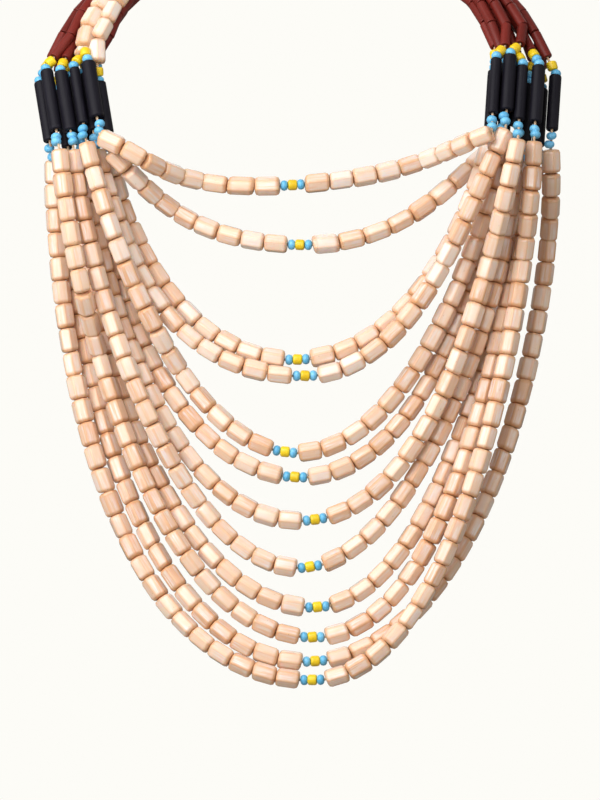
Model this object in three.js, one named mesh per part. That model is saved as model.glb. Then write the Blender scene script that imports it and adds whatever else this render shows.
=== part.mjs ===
// A long bib necklace of glass beads, in millimetres, +Z up, as it hangs when it is worn.
// Twelve strings of six-sided beads hang in front, one below the other. Each end of a string
// leaves the lower end of a black tube bead, and the twelve tubes of a side stand in a close
// cluster over the collarbone. From their upper ends a bundle of thin strings goes round the
// neck to a clasp. The origin is on the clasp, where it lies against the nape. The chest is
// on the -Y side of it, and the wearer's right is at -X.
import * as THREE from "three";

// ---- Driving dimensions ----
const BEAD = { pitch: 9.8, radius: 3.75, gap: 0.4, sides: 6 }; // corner radius, end gap
const THREAD_RADIUS = 0.8;
const SEEDS = { radius: 2.1, end: 6.2, middle: 9.9 }; // stacks of two and of three seed beads
const SEED_CLEARANCE = 1.2; // bare thread at each end of a stack of two

const TUBE = { wide: 5.2, long: 25.4, bore: 1.2, sides: 10, boreSides: 6 }; // a usual one
const ROW_GAP = 6; // between the rows of a cluster
const TOUCH = 0.3; // clearance between pieces that touch
const STRING_DROP = SEEDS.end + 2 * SEED_CLEARANCE; // from a tube's end to its first long bead

const CHEST = { y: -108, round: 0.0028, slope: 0.08, level: -100 }; // where a string rests
const LIE = 7.6; // least distance between the centre lines of two strings
const SAMPLE = 1.5; // step along a string while it is being laid
const EASE = 11; // length over which a string rises onto the ones below it
const LEAD = 0.25; // how far a string keeps the direction it starts in, as a share of its span

const CLASP = { radius: 9, waist: 8.2, length: 26, rim: 3, sides: 16 };
const BUNDLE = { sides: 12, steps: 13 };

const FINISHES = {
  bead: { color: 0xe6c6a6, roughness: 0.35, metalness: 0 },
  tube: { color: 0x232126, roughness: 0.3, metalness: 0 },
  neck: { color: 0x7d342b, roughness: 0.5, metalness: 0 },
  clasp: { color: 0xa98a52, roughness: 0.35, metalness: 1 },
};

// The clusters: middle of the front row, and how far the tubes lean out, forwards and round.
const CLUSTERS = {
  left: { x: -90.5, y: -102, z: -75, out: -9.5, forward: -25, round: -14 },
  right: { x: 90.3, y: -102, z: -73, out: 4, forward: -25, round: 14 },
};

// The strings, from the shortest to the longest. low and at give the lowest point, below the
// origin and across from it, and tilt the slope there, in degrees. Of each half, lay is its
// turn as the strings of that side are laid on the chest, lean is the angle from straight down
// at which it leaves, towards the middle, and level the share of its width over which it comes
// level. Its tube has a place in the cluster. Pitch, wide and long are given for a half whose
// long beads or tube aren't the usual ones.
const STRINGS = [
  {
    low: 110, at: -3, tilt: 4,
    left: {
      lay: 12, lean: 70, level: 0.68, pitch: 10.4,
      tube: { across: 8.1, row: 0, rise: 1.2, wide: 5.8, long: 25 },
    },
    right: {
      lay: 12, lean: 71, level: 0.62,
      tube: { across: -13, row: 0, rise: 0.5, wide: 4.3, long: 24.5 },
    },
  },
  {
    low: 134, at: 0, tilt: -1,
    left: {
      lay: 8, lean: 46, level: 0.62,
      tube: { across: 9.8, row: 1, rise: -5, long: 23 },
    },
    right: {
      lay: 1, lean: 50, level: 0.55, pitch: 10.4,
      tube: { across: -10.4, row: 2, rise: -1 },
    },
  },
  {
    low: 180, at: -1, tilt: 2,
    left: {
      lay: 4, lean: 8, level: 0.62,
      tube: { across: 7.6, row: 2, rise: -1 },
    },
    right: {
      lay: 5, lean: 14, level: 0.6,
      tube: { across: -12, row: 1, rise: -1.9, wide: 5, long: 24 },
    },
  },
  {
    low: 186.5, at: 2, tilt: 0,
    left: {
      lay: 7, lean: 17, level: 0.75,
      tube: { across: 4.1, row: 1, rise: -1 },
    },
    right: {
      lay: 10, lean: 26, level: 0.56,
      tube: { across: -7.3, row: 0, rise: 3, wide: 5.5, long: 24.6 },
    },
  },
  {
    low: 217, at: -6, tilt: -8,
    left: {
      lay: 10, lean: 13, level: 0.54,
      tube: { across: 2.1, row: 0, rise: 0.3, wide: 4.2, long: 25 },
    },
    right: {
      lay: 6, lean: 9, level: 0.56,
      tube: { across: -6.9, row: 1, rise: 1.5 },
    },
  },
  {
    low: 227, at: -2, tilt: -3,
    left: {
      lay: 3, lean: 0, level: 0.66,
      tube: { across: 2.1, row: 2, rise: -1.5 },
    },
    right: {
      lay: 2, lean: 9, level: 0.64,
      tube: { across: -4.8, row: 2, rise: -2 },
    },
  },
  {
    low: 244, at: 6, tilt: 8,
    left: {
      lay: 6, lean: 5, level: 0.65,
      tube: { across: -1.6, row: 1, rise: -1 },
    },
    right: {
      lay: 11, lean: 12, level: 0.64,
      tube: { across: -1.9, row: 0, rise: -0.4, wide: 4.5, long: 24 },
    },
  },
  {
    low: 263, at: 4, tilt: 8,
    left: {
      lay: 9, lean: 4, level: 0.56,
      tube: { across: -3.6, row: 0, rise: -0.5, wide: 5.5, long: 26.6 },
    },
    right: {
      lay: 7, lean: -3, level: 0.56,
      tube: { across: -1.6, row: 1, rise: 0.5 },
    },
  },
  {
    low: 279, at: 7, tilt: 3,
    left: {
      lay: 2, lean: -7, level: 0.66,
      tube: { across: -3.3, row: 2, rise: -2 },
    },
    right: {
      lay: 3, lean: 4, level: 0.59,
      tube: { across: 4.2, row: 2, rise: -3 },
    },
  },
  {
    low: 291, at: 5, tilt: -1,
    left: {
      lay: 11, lean: 5, level: 0.65,
      tube: { across: -9.4, row: 0, rise: 1.7, long: 27 },
    },
    right: {
      lay: 4, lean: 14, level: 0.65,
      tube: { across: 9.7, row: 2, rise: -3.8 },
    },
  },
  {
    low: 300.5, at: 6, tilt: 4,
    left: {
      lay: 1, lean: -6, level: 0.75,
      tube: { across: -8.8, row: 2, rise: -2 },
    },
    right: {
      lay: 8, lean: -4, level: 0.76,
      tube: { across: 13.5, row: 1, rise: 0.8, wide: 5, long: 24.2 },
    },
  },
  {
    low: 308, at: 5, tilt: 0,
    left: {
      lay: 5, lean: 0, level: 0.84,
      tube: { across: -14.3, row: 1, rise: 0.5, long: 26.7 },
    },
    right: {
      lay: 9, lean: 1, level: 0.68,
      tube: { across: 4.8, row: 0, rise: 0.3, wide: 5.4, long: 25 },
    },
  },
];

// The neck bundle after the cluster, on the right: its middle, and its width and thickness.
const NECK = [
  { x: 85, y: -80, z: -48, wide: 26, thick: 16 },
  { x: 77, y: -68, z: -36, wide: 22, thick: 16 },
  { x: 67, y: -53, z: -27, wide: 19, thick: 16 },
  { x: 56, y: -35, z: -18, wide: 18, thick: 16 },
  { x: 42, y: -15, z: -10, wide: 17, thick: 16 },
  { x: 28, y: 1, z: -4, wide: 16, thick: 16 },
  { x: CLASP.length / 2 + TOUCH, y: CLASP.radius, z: 0, wide: 16, thick: 16 },
];
const BUNDLE_START = { wide: 26, thick: 16, rise: 16.2, back: 0.95 }; // over the tubes' middle

// ---- Helpers ----
const FRONT = new THREE.Vector3(0, -1, 0);
const radians = THREE.MathUtils.degToRad;
const sideSign = { left: -1, right: 1 };
const sides = Object.keys(sideSign);

/** A closed ring of points round a centre, as many as a bead's sides, equal in runs of `repeat`. */
function ring(centre, axis, radius, repeat = 1) {
  const up = FRONT.clone().projectOnPlane(axis).normalize();
  const across = axis.clone().cross(up);
  const count = BEAD.sides;
  return Array.from({ length: count }, (_, i) => {
    const angle = ((Math.floor(i / repeat) * repeat + (repeat - 1) / 2) * 2 * Math.PI) / count;
    return centre
      .clone()
      .addScaledVector(up, radius * Math.cos(angle))
      .addScaledVector(across, radius * Math.sin(angle));
  });
}

/** A closed solid through rings of equal count, each further along than the one before. */
function loft(rings) {
  const positions = [];
  const face = (a, b, c) => {
    if (a.equals(b) || b.equals(c) || c.equals(a)) return;
    positions.push(...a, ...b, ...c);
  };
  const count = rings[0].length;
  const last = rings[rings.length - 1];
  for (let i = 0; i < count; i++) {
    const next = (i + 1) % count;
    face(rings[0][0], rings[0][next], rings[0][i]);
    face(last[0], last[i], last[next]);
    for (let r = 1; r < rings.length; r++) {
      face(rings[r - 1][i], rings[r - 1][next], rings[r][next]);
      face(rings[r - 1][i], rings[r][next], rings[r][i]);
    }
  }
  const geometry = new THREE.BufferGeometry();
  geometry.setAttribute("position", new THREE.Float32BufferAttribute(positions, 3));
  geometry.computeVertexNormals();
  return geometry;
}

function polygon(radius, count) {
  return Array.from({ length: count }, (_, i) => {
    const angle = (i * 2 * Math.PI) / count;
    return new THREE.Vector2(radius * Math.cos(angle), radius * Math.sin(angle));
  });
}

function namedMesh(name, geometry, finish) {
  const mesh = new THREE.Mesh(geometry, new THREE.MeshStandardMaterial(finish));
  mesh.name = name;
  return mesh;
}

// ---- The clusters of black tubes ----
/** One glass tube bead with its bore, upright round its own middle. */
function tubeGeometry(wide, long) {
  const outline = new THREE.Shape(polygon(wide / 2, TUBE.sides));
  outline.holes.push(new THREE.Path(polygon(TUBE.bore, TUBE.boreSides)));
  const geometry = new THREE.ExtrudeGeometry(outline, { depth: long, bevelEnabled: false });
  return geometry.translate(0, 0, -long / 2);
}

function clusterGroup(side) {
  const place = CLUSTERS[side];
  const group = new THREE.Group();
  group.position.set(place.x, place.y, place.z);
  group.rotation.set(radians(place.forward), radians(place.out), radians(place.round), "YXZ");
  STRINGS.forEach((string, i) => {
    const { across, row, rise, wide = TUBE.wide, long = TUBE.long } = string[side].tube;
    const name = `tube_${side}_${String(i + 1).padStart(2, "0")}`;
    const tube = namedMesh(name, tubeGeometry(wide, long), FINISHES.tube);
    tube.position.set(across, row * ROW_GAP, rise);
    group.add(tube);
  });
  group.updateMatrixWorld(true);
  return group;
}

/** The point `below` the lower end of a tube, on its axis, in the necklace's own frame. */
function underTube(group, side, index, below) {
  const { long = TUBE.long } = STRINGS[index][side].tube;
  return group.children[index].localToWorld(new THREE.Vector3(0, 0, -long / 2 - below));
}

function tubeUp(group) {
  return new THREE.Vector3(0, 0, 1).transformDirection(group.matrixWorld);
}

// ---- Laying the strings on the chest ----
function chestY(x, z) {
  return CHEST.y + CHEST.round * x * x + CHEST.slope * (z - CHEST.level);
}

/** The half string as it is seen from the front, from its tube to its lowest point. */
function frontView(string, side, start) {
  const half = string[side];
  const inwards = -sideSign[side];
  const low = new THREE.Vector2(string.at, -string.low);
  const top = new THREE.Vector2(start.x, start.z);
  const lean = radians(half.lean);
  const away = new THREE.Vector2(inwards * Math.sin(lean), -Math.cos(lean));
  const tilt = radians(string.tilt);
  const level = new THREE.Vector2(Math.cos(tilt), Math.sin(tilt)).multiplyScalar(-inwards);
  const lead = LEAD * top.distanceTo(low);
  const reach = half.level * Math.abs(top.x - low.x);
  return new THREE.CubicBezierCurve(
    top,
    top.clone().addScaledVector(away, lead),
    low.clone().addScaledVector(level, reach),
    low,
  );
}

/** The greatest value within `reach` of each place, then the mean over the same stretch. */
function eased(values, reach) {
  const around = (list, i) => list.slice(Math.max(0, i - reach), i + reach + 1);
  const highest = values.map((_, i) => Math.max(...around(values, i)));
  return highest.map((_, i) => {
    const near = around(highest, i);
    return near.reduce((sum, value) => sum + value, 0) / near.length;
  });
}

/** Lays one half string on the chest and on the points of the strings already there. */
function laidPoints(curve, laid) {
  const flat = curve.getSpacedPoints(Math.round(curve.getLength() / SAMPLE));
  const lifts = flat.map(({ x, y: z }) => {
    const rest = chestY(x, z);
    let y = rest;
    for (const point of laid) {
      const apart = (point.x - x) ** 2 + (point.z - z) ** 2;
      if (apart < LIE * LIE) y = Math.min(y, point.y - Math.sqrt(LIE * LIE - apart));
    }
    return rest - y;
  });
  const smooth = eased(lifts, Math.round(EASE / SAMPLE));
  return flat.map(({ x, y: z }, i) => new THREE.Vector3(x, chestY(x, z) - smooth[i], z));
}

/** All half strings of a side, laid one after another, the lowest layer first. */
function laidHalves(side, group) {
  const halves = [];
  const laid = [];
  const order = STRINGS.map((_, i) => i).sort((a, b) => STRINGS[a][side].lay - STRINGS[b][side].lay);
  for (const i of order) {
    const start = underTube(group, side, i, STRING_DROP);
    const points = laidPoints(frontView(STRINGS[i], side, start), laid);
    halves[i] = points;
    laid.push(...points);
  }
  return halves;
}

// ---- A string of beads ----
/** Places along a line of points, by the length from its start. */
function alongLine(points) {
  const lengths = [0];
  for (let i = 1; i < points.length; i++) {
    lengths.push(lengths[i - 1] + points[i].distanceTo(points[i - 1]));
  }
  const at = (length) => {
    let i = 1;
    while (i < points.length - 1 && lengths[i] < length) i++;
    const share = (length - lengths[i - 1]) / (lengths[i] - lengths[i - 1]);
    return points[i - 1].clone().lerp(points[i], share);
  };
  return { at, length: lengths[lengths.length - 1] };
}

/** The ends of each bead of a half string, from the stack of seeds at its tube down. */
function halfJoints(points, pitch = BEAD.pitch) {
  const line = alongLine(points);
  const used = line.length - SEEDS.middle / 2;
  const count = Math.round(used / pitch);
  return Array.from({ length: count + 1 }, (_, i) => line.at((i * used) / count));
}

/** The rings of one bead or stack between two joints, shortened where the string bends. */
function beadRings(from, to, radius, before, after) {
  const axis = to.clone().sub(from).normalize();
  const inset = (other) => BEAD.gap + radius * Math.tan(axis.angleTo(other) / 2);
  return [
    ring(from.clone().addScaledVector(axis, before ? inset(before) : 0), axis, radius),
    ring(to.clone().addScaledVector(axis, after ? -inset(after) : 0), axis, radius),
  ];
}

/** One string as one solid: long beads, the seeds in the middle and at both ends, thread. */
function stringGeometry(index, groups, halves) {
  const { left: leftHalf, right: rightHalf } = STRINGS[index];
  const left = halfJoints(halves.left[index], leftHalf.pitch);
  const right = halfJoints(halves.right[index], rightHalf.pitch).reverse();
  const ends = sides.map((side) => underTube(groups[side], side, index, TOUCH));
  const bare = ends.map((end, i) => {
    const first = i ? right[right.length - 1] : left[0];
    return first.clone().lerp(end, SEED_CLEARANCE / first.distanceTo(end));
  });
  const joints = [ends[0], bare[0], ...left, ...right, bare[1], ends[1]];
  const seeded = new Set([0, left.length + 1, joints.length - 2]);
  const bareAt = new Set([1, joints.length - 3]);
  const axes = joints.slice(1).map((joint, i) => joint.clone().sub(joints[i]).normalize());
  const rings = [];
  axes.forEach((axis, i) => {
    if (i) {
      const mean = axes[i - 1].clone().add(axis).normalize();
      rings.push(ring(joints[i], mean, THREAD_RADIUS, 2));
    }
    if (bareAt.has(i)) return;
    const radius = seeded.has(i) ? SEEDS.radius : BEAD.radius;
    const before = bareAt.has(i - 1) ? axis : axes[i - 1];
    const after = bareAt.has(i + 1) ? axis : axes[i + 1];
    rings.push(...beadRings(joints[i], joints[i + 1], radius, before, after));
  });
  rings[0] = ring(ends[0], tubeUp(groups.left).negate(), SEEDS.radius);
  rings[rings.length - 1] = ring(ends[1], tubeUp(groups.right), SEEDS.radius);
  return loft(rings);
}

// ---- The neck bundles and the clasp ----
/** The bundle of twelve thin strings of one side, as one solid of its outer shape. */
function bundleGeometry(side, group) {
  const sign = sideSign[side];
  const start = group.localToWorld(
    new THREE.Vector3(0, BUNDLE_START.back * ROW_GAP, BUNDLE_START.rise),
  );
  const middles = NECK.map(({ x, y, z }) => new THREE.Vector3(sign * x, y, z));
  const path = new THREE.CatmullRomCurve3([start, ...middles]);
  const sizes = [BUNDLE_START, ...NECK];
  const rings = Array.from({ length: BUNDLE.steps + 1 }, (_, i) => {
    const share = i / BUNDLE.steps;
    const place = share * (sizes.length - 1);
    const before = Math.min(Math.floor(place), sizes.length - 2);
    const size = (key) =>
      THREE.MathUtils.lerp(sizes[before][key], sizes[before + 1][key], place - before);
    const centre = path.getPoint(share);
    const along = sectionNormal(path, share, group, sign);
    const outwards = new THREE.Vector3(along.y, -along.x, 0).multiplyScalar(sign).normalize();
    const up = along.clone().cross(outwards);
    return polygon(0.5, BUNDLE.sides).map((corner) =>
      centre
        .clone()
        .addScaledVector(outwards, corner.x * size("wide"))
        .addScaledVector(up, corner.y * size("thick")),
    );
  });
  return loft(rings);
}

/** The direction of the bundle, square to the tubes at one end and to the clasp at the other. */
function sectionNormal(path, share, group, sign) {
  if (share === 0) return tubeUp(group);
  if (share === 1) return new THREE.Vector3(-sign, 0, 0);
  return path.getTangent(share);
}

/** A plain barrel with a rim at each end, lying across the nape. */
function claspGeometry() {
  const { radius, waist, length, rim, sides: count } = CLASP;
  const profile = [
    new THREE.Vector2(0, -length / 2),
    new THREE.Vector2(radius, -length / 2),
    new THREE.Vector2(radius, rim - length / 2),
    new THREE.Vector2(waist, rim - length / 2),
    new THREE.Vector2(waist, length / 2 - rim),
    new THREE.Vector2(radius, length / 2 - rim),
    new THREE.Vector2(radius, length / 2),
    new THREE.Vector2(0, length / 2),
  ];
  return new THREE.LatheGeometry(profile, count, Math.PI / count);
}

// ---- The necklace ----
function necklace() {
  const root = new THREE.Group();
  const groups = Object.fromEntries(sides.map((side) => [side, clusterGroup(side)]));
  const halves = Object.fromEntries(sides.map((side) => [side, laidHalves(side, groups[side])]));
  STRINGS.forEach((_, i) => {
    const name = `string_${String(i + 1).padStart(2, "0")}`;
    root.add(namedMesh(name, stringGeometry(i, groups, halves), FINISHES.bead));
  });
  for (const side of sides) {
    root.add(groups[side]);
    const bundle = bundleGeometry(side, groups[side]);
    root.add(namedMesh(`neck_bundle_${side}`, bundle, FINISHES.neck));
  }
  const clasp = namedMesh("clasp", claspGeometry(), FINISHES.clasp);
  clasp.rotation.z = Math.PI / 2;
  clasp.position.y = CLASP.radius;
  root.add(clasp);
  return root;
}

export default necklace();
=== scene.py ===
"""A long bib necklace of glass beads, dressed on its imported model.

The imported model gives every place. The rings of each string's solid say where its beads lie, the
tubes say how the two clusters stand, and the rings of the neck bundles say how the thin strings
run round the neck to the clasp. Lengths are in metres, +Z is up and -Y is the wearer's front.
"""

import logging
import math
import random
from collections.abc import Callable, Iterator, Sequence
from contextlib import contextmanager
from dataclasses import dataclass, field, replace
from enum import Enum

import bmesh
import bpy
import numpy as np
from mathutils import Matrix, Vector


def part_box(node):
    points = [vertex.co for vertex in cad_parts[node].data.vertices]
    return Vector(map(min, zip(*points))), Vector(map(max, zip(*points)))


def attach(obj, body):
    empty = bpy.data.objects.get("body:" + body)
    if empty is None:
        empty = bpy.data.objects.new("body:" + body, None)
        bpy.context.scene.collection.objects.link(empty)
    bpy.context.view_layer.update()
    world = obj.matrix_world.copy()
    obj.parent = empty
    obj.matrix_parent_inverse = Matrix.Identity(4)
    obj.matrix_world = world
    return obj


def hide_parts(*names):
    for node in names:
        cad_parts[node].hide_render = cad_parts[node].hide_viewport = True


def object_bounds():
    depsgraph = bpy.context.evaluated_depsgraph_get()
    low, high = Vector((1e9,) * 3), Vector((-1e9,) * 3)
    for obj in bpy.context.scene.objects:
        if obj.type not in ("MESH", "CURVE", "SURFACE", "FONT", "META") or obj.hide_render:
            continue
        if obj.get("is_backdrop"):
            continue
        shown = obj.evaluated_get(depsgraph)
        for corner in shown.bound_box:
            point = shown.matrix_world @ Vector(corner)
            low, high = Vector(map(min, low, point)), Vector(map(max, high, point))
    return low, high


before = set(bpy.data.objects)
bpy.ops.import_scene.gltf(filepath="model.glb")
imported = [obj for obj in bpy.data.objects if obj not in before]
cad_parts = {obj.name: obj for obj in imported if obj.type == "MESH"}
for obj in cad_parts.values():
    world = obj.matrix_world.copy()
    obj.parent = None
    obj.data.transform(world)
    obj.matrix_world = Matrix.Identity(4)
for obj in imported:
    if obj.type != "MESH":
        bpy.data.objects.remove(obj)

log = logging.getLogger("necklace")

MM = 0.001
FRONT = np.array([0.0, -1.0, 0.0])
BODY = "root"
STRINGS = range(1, 13)
BEAD_SIDES = 6  # of a long bead, and of a string's solid where it is one
BUNDLE_CORNERS = 12  # of a neck bundle's solid, all round
WELD_DIGITS = 6  # corners of a solid that agree to a micrometre are one
SLIVER = 0.12 * MM  # corners of a modelled bead that are nearer than this are one
CLOSE = 1e-6  # lengths that differ by less are the same
PEACH_STRINGS = frozenset({1, 2, 5})  # on the left they stay peach up to the clasp
SEED_SPAN_RADIUS = 2.8 * MM  # a narrower span of a string's solid is a stack of seed beads
THREAD_INSIDE = 4 * MM  # how far a thread is modelled inside a tube

Colour = tuple[float, float, float, float]
Pair = tuple[float, float]
Triple = tuple[float, float, float]
Stops = tuple[tuple[float, Colour], ...]
Dressing = list[tuple[bpy.types.Object, str]]  # pieces, each with its material slot


class Side(Enum):
    """A side of the necklace, as seen from the front."""

    LEFT = "left"
    RIGHT = "right"

    @property
    def sign(self) -> int:
        """The sign of X on this side."""
        return -1 if self is Side.LEFT else 1


class Seed(Enum):
    """The two colours of seed bead."""

    BLUE = "blue"
    YELLOW = "yellow"


# ---- Shader nodes ----
class Value:
    """An output socket, which takes part in plain arithmetic where it is a number."""

    def __init__(self, nodes: "Nodes", socket: bpy.types.NodeSocket) -> None:
        """Wraps a socket of the tree that nodes builds."""
        self.nodes = nodes
        self.socket = socket

    def maths(self, operation: str, first: "Value | float", second: "Value | float") -> "Value":
        """A Math node on two numbers."""
        return self.nodes.add("ShaderNodeMath", {"operation": operation}, {0: first, 1: second})

    def __add__(self, other: "Value | float") -> "Value":
        """This plus other."""
        return self.maths("ADD", self, other)

    def __sub__(self, other: "Value | float") -> "Value":
        """This less other."""
        return self.maths("SUBTRACT", self, other)

    def __rsub__(self, other: float) -> "Value":
        """Other less this."""
        return self.maths("SUBTRACT", other, self)

    def __mul__(self, other: "Value | float") -> "Value":
        """This times other."""
        return self.maths("MULTIPLY", self, other)

    __radd__ = __add__
    __rmul__ = __mul__

    def __abs__(self) -> "Value":
        """This without its sign."""
        return self.maths("ABSOLUTE", self, 0.0)

    def scaled(self, by: Sequence[float]) -> "Value":
        """This vector, with each of its parts multiplied by its own number."""
        return self.nodes.add("ShaderNodeVectorMath", {"operation": "MULTIPLY"}, {0: self, 1: by})

    def part(self, letter: str) -> "Value":
        """One part of this vector: X, Y or Z."""
        return self.nodes.add("ShaderNodeSeparateXYZ", {}, {0: self}, letter)

    def between(self, low: float, high: float, start: float = 0.0, end: float = 1.0) -> "Value":
        """A smooth step over this value.

        Args:
            low: where the step begins.
            high: where it ends.
            start: its value below low.
            end: its value above high.

        Returns:
            The stepped value.
        """
        settings = {"interpolation_type": "SMOOTHSTEP"}
        sockets = {"Value": self, 1: low, 2: high, 3: start, 4: end}
        return self.nodes.add("ShaderNodeMapRange", settings, sockets)


class Nodes:
    """Builds one node tree."""

    def __init__(self, tree: bpy.types.NodeTree) -> None:
        """Starts from an empty tree."""
        self.tree = tree
        tree.nodes.clear()

    def add(self, kind: str, settings: dict, sockets: dict, output: int | str = 0) -> Value:
        """Adds one node.

        Args:
            kind: the node's type.
            settings: its settings, set before its sockets; "stops" are a colour ramp's.
            sockets: a value or a link for each input socket, by its name or number.
            output: the output socket that is wanted.

        Returns:
            That output socket.
        """
        node = self.tree.nodes.new(kind)
        for key, setting in settings.items():
            if key == "stops":
                self.set_stops(node.color_ramp, setting)
            else:
                setattr(node, key, setting)
        for key, given in sockets.items():
            if isinstance(given, Value):
                self.tree.links.new(given.socket, node.inputs[key])
            else:
                node.inputs[key].default_value = given
        return Value(self, node.outputs[output])

    @staticmethod
    def set_stops(ramp: bpy.types.ColorRamp, stops: Stops) -> None:
        """Gives a colour ramp its stops.

        Args:
            ramp: the ramp of a new node, with two stops.
            stops: each stop's position and colour.
        """
        while len(ramp.elements) < len(stops):
            ramp.elements.new(1.0)
        for element, (position, colour) in zip(ramp.elements, stops, strict=True):
            element.position = position
            element.color = colour

    def surface(self, kind: str, shader: Value) -> None:
        """Ends the tree in an output node of that kind."""
        output = self.tree.nodes.new(kind)
        self.tree.links.new(shader.socket, output.inputs["Surface"])

    def mix(self, factor: Value | float, first: Value | Colour, second: Value | Colour) -> Value:
        """Mixes two colours, whose sockets come after those for numbers and vectors."""
        sockets = {0: factor, 6: first, 7: second}
        return self.add("ShaderNodeMix", {"data_type": "RGBA"}, sockets, 2)

    def ramp(self, factor: Value, stops: Stops) -> Value:
        """A colour that runs through the stops."""
        return self.add("ShaderNodeValToRGB", {"stops": stops}, {0: factor})

    def attribute(self, name: str, output: str) -> Value:
        """An attribute of the piece."""
        return self.add("ShaderNodeAttribute", {"attribute_name": name}, {}, output)

    def bead(self) -> tuple[Value, Value]:
        """A point's place on its own bead and the bead's tone."""
        return self.attribute("place", "Vector"), self.attribute("tone", "Fac")

    def noise(self, vector: Value, shift: Value | float, detail: float = 2.0) -> Value:
        """A noise from 0 to 1 with features of about 1, and shift picks another pattern."""
        sockets = {"Vector": vector, "W": shift, "Scale": 1.0, "Detail": detail}
        return self.add("ShaderNodeTexNoise", {"noise_dimensions": "4D"}, sockets)

    def bump(self, height: Value, distance: float, strength: float) -> Value:
        """A normal for a surface that is raised where height is 1."""
        sockets = {"Height": height, "Distance": distance, "Strength": strength}
        return self.add("ShaderNodeBump", {}, sockets)


# ---- Finishes ----
# Every bead carries two attributes: "place" is where a point is on its own bead, in millimetres
# with Z along the hole, and "tone" is a number from 0 to 1 that is the bead's own.
MOST = (0.3, 0.7)  # where most of a noise lies


class Finish:
    """A material of one Principled node, whose sockets each finish fills in its own way."""

    name: str

    def sockets(self, nodes: Nodes) -> dict:
        """A value or a link for each socket that is set."""
        raise NotImplementedError

    def material(self) -> bpy.types.Material:
        """Makes the material of this finish.

        Returns:
            The new material.
        """
        material = bpy.data.materials.new(self.name)
        material.use_nodes = True
        nodes = Nodes(material.node_tree)
        shader = nodes.add("ShaderNodeBsdfPrincipled", {}, self.sockets(nodes))
        nodes.surface("ShaderNodeOutputMaterial", shader)
        return material


@dataclass(frozen=True)
class Grain:
    """A noise over a bead, cut at another place for each bead's tone."""

    size: Triple  # features for each millimetre, across the bead, in its depth and along it
    spread: float = 0.0  # how far apart the palest and the darkest bead's patterns are cut
    first: float = 0.0  # where the palest bead's is cut
    detail: float = 2.0

    def over(self, nodes: Nodes, place: Value, tone: Value | float = 0.0) -> Value:
        """The noise at a place on a bead of that tone."""
        return nodes.noise(place.scaled(self.size), tone * self.spread + self.first, self.detail)


@dataclass(frozen=True)
class Glow:
    """The light that goes into glass and comes out beside."""

    share: float
    reach: Triple  # of red, green and blue, against the depth
    depth: float

    def sockets(self) -> dict:
        """Fills the sockets for it.

        Returns:
            A value for each of them.
        """
        return {
            "Subsurface Weight": self.share,
            "Subsurface Radius": self.reach,
            "Subsurface Scale": self.depth,
        }


@dataclass(frozen=True)
class BeadGlass(Finish):
    """Opaque peach glass, a few specks; painted sheen on the flats, painted tan shade at edges and
    ends.
    """

    name: str = "peach_glass"
    palette: Stops = (
        (0.00, (0.85, 0.71, 0.62, 1.0)),
        (0.30, (0.83, 0.63, 0.49, 1.0)),
        (0.65, (0.80, 0.56, 0.40, 1.0)),
        (0.90, (0.73, 0.46, 0.30, 1.0)),
        (1.00, (0.68, 0.40, 0.24, 1.0)),
    )
    # the colour of the painted sheen along the middle of the flats
    pale: Colour = (0.79, 0.69, 0.65, 1.0)
    # the colour of the painted warm shade at the edges and ends
    tan: Colour = (0.63, 0.32, 0.14, 1.0)
    speck: Colour = (0.24, 0.13, 0.07, 1.0)
    streaks: Grain = Grain((1.3, 1.3, 0.11), 90.0, detail=3.0)
    clouds: Grain = Grain((0.22, 0.22, 0.12), 41.0, 7.0)
    specks: Grain = Grain((1.9, 1.9, 1.1), 63.0, 3.0, detail=1.0)
    ends: Pair = (2.9, 4.6)  # along the bead, where the painted tan shade begins and is full
    edges: Pair = (0.2, 1.0)  # the same from the middle of a flat to an edge
    cloudiness: float = 0.5  # how far the clouds move a bead's tone
    clouded: Pair = (0.25, 0.75)  # the clouds between which a flat takes the painted sheen
    streaked: Pair = (0.34, 0.62)  # the streaks between which it does
    end_painted_shade: float = 0.75
    edge_painted_shade: float = 0.3
    tan_reach: float = 1.3  # less the streaks, it is how even the painted tan shade lies
    specked: Pair = (0.75, 0.80)
    speck_share: float = 0.6
    pitted: Pair = (0.71, 0.79)
    streak_height: float = 0.4
    cloud_height: float = 0.6
    relief: float = 0.05 * MM
    relief_share: float = 0.5
    dulled: Pair = (0.3, 0.8)  # the streaks between which it dulls
    roughness: Pair = (0.13, 0.25)
    refraction: float = 1.54
    glow: Glow = Glow(0.35, (1.0, 0.45, 0.22), 1.6 * MM)

    def sockets(self, nodes: Nodes) -> dict:
        """Fills the sockets.

        Args:
            nodes: the material's node tree.

        Returns:
            A value or a link for each socket that is set.
        """
        place, tone = nodes.bead()
        streaks, clouds, specks = (
            grain.over(nodes, place, tone) for grain in (self.streaks, self.clouds, self.specks)
        )
        turn = place.maths("ARCTAN2", place.part("Y"), place.part("X"))
        sides = turn.maths("COSINE", turn * float(BEAD_SIDES), 0.0)
        edge = (sides * -1.0).between(*self.edges)
        end = abs(place.part("Z")).between(*self.ends)
        colour = nodes.ramp(tone + (clouds - 0.5) * self.cloudiness, self.palette)
        # painted sheen: the middle of each flat is painted pale, where glossy glass would shine
        painted_sheen = (1.0 - edge) * (1.0 - end) * clouds.between(*self.clouded)
        colour = nodes.mix(painted_sheen * streaks.between(*self.streaked), colour, self.pale)
        # painted warm shade: the ends, where beads meet, and the edges between flats go tan
        uneven = self.tan_reach - streaks
        colour = nodes.mix(end * self.end_painted_shade * uneven, colour, self.tan)
        colour = nodes.mix(edge * self.edge_painted_shade * uneven, colour, self.tan)
        colour = nodes.mix(specks.between(*self.specked) * self.speck_share, colour, self.speck)
        height = streaks * self.streak_height + clouds * self.cloud_height
        height = height - specks.between(*self.pitted)
        return {
            "Base Color": colour,
            "Roughness": streaks.between(*self.dulled, *self.roughness),
            "Normal": nodes.bump(height, self.relief, self.relief_share),
            "IOR": self.refraction,
            **self.glow.sockets(),
        }


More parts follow.
